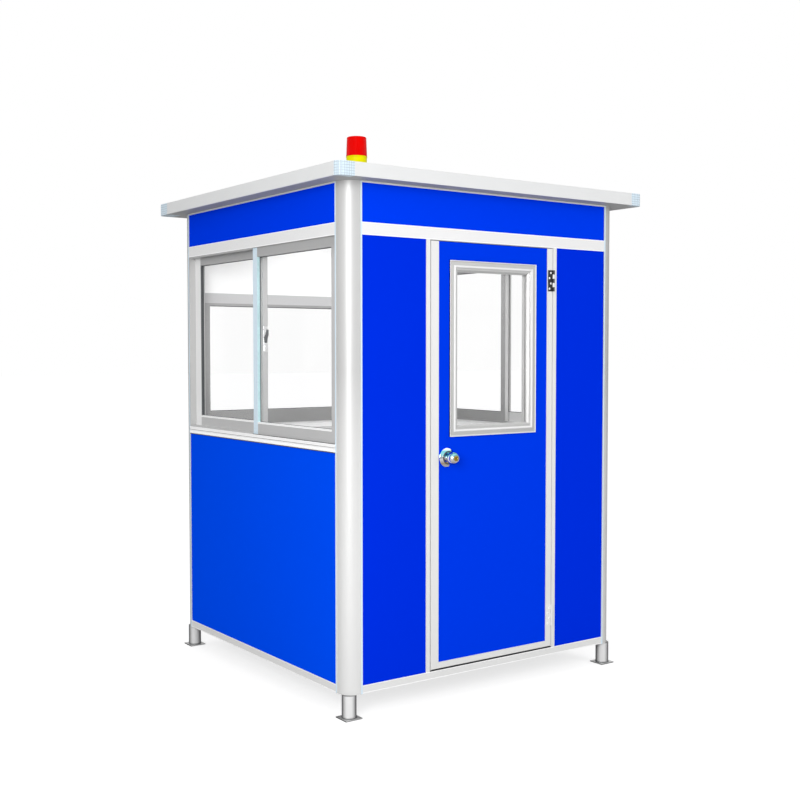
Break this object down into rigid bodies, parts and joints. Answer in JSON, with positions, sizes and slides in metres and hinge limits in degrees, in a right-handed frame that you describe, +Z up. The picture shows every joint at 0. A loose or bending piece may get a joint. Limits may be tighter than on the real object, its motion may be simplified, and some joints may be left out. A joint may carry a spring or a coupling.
{
  "type": "security guard booth",
  "caption": "Square guard booth of blue sandwich panels in an aluminium frame on short legs, with an outward opening glazed door, side and rear windows, an overhanging flat roof and a beacon.",
  "frame": {"origin": "middle of the footprint at ground level, under the foot plates", "axes": "+Z up, -Y out of the door face, +X to the right of someone facing the door"},
  "size_m": [1.674, 1.674, 2.325],
  "materials": {
    "frame_aluminium": "satin mill-finish aluminium sections",
    "head_rail_white": "white coated aluminium",
    "window_aluminium": "brushed aluminium sections",
    "blue_panel": "glossy blue colour-coated steel skin",
    "white_lining": "white colour-coated steel skin",
    "clear_glass": "clear float glass",
    "foot_chrome": "polished stainless steel tube",
    "floor_board": "grey sheet floor",
    "roof_sheet": "pale grey colour-coated steel sheet",
    "corner_cap_plastic": "pale blue moulded plastic",
    "beacon_yellow": "yellow moulded plastic",
    "beacon_red": "red translucent lens",
    "hinge_black": "black coated steel",
    "hinge_grey": "aluminium coloured steel",
    "knob_chrome": "polished chrome plate",
    "latch_grey": "dark grey moulding"
  },
  "bodies": {
    "cabin": {"feet": "foot_chrome", "bottom_rails": "frame_aluminium", "floor_deck": "floor_board", "corner_posts": "frame_aluminium", "head_rails": "head_rail_white", "top_rails": "frame_aluminium", "fascia_panels": "blue_panel", "lower_wall_left": "blue_panel", "lower_wall_right": "blue_panel", "lower_wall_rear": "blue_panel", "front_wall_left": "blue_panel", "front_wall_right": "blue_panel", "inner_lining": "white_lining", "door_jambs": "frame_aluminium", "door_stops": "frame_aluminium", "window_sills": "frame_aluminium", "window_frame_left": "window_aluminium", "window_frame_right": "window_aluminium", "window_frame_rear": "window_aluminium", "outer_sash_left": "window_aluminium", "inner_sash_left": "window_aluminium", "outer_sash_right": "window_aluminium", "inner_sash_right": "window_aluminium", "glass_left": "clear_glass", "glass_right": "clear_glass", "glass_rear": "clear_glass", "sash_latch": "latch_grey", "roof_panel": "roof_sheet", "roof_edges": "frame_aluminium", "roof_corner_caps": "corner_cap_plastic", "beacon_base": "beacon_yellow", "beacon_dome": "beacon_red", "upper_hinge_pin": "hinge_black", "lower_hinge_pin": "hinge_grey"},
    "door": {"upper_hinge_leaf": "hinge_black", "lower_hinge_leaf": "hinge_grey", "door_frame": "frame_aluminium", "door_panel": "blue_panel", "door_lining": "white_lining", "door_window_frame": "window_aluminium", "door_glass": "clear_glass", "knob_rosettes": "knob_chrome"},
    "knob": {"door_knob": "knob_chrome"}
  },
  "joints": [
    {"name": "door_swing", "type": "hinge", "parent": "cabin", "child": "door", "pos_m": [0.3505, -0.755, 0], "axis": [0, 0, 1], "range_deg": [0, 165]},
    {"name": "knob_turn", "type": "hinge", "parent": "door", "child": "knob", "pos_m": [-0.245, -0.79, 1.029], "axis": [0, 1, 0], "range_deg": [-60, 60], "stiffness_Nm_per_rad": 0.3}
  ]
}
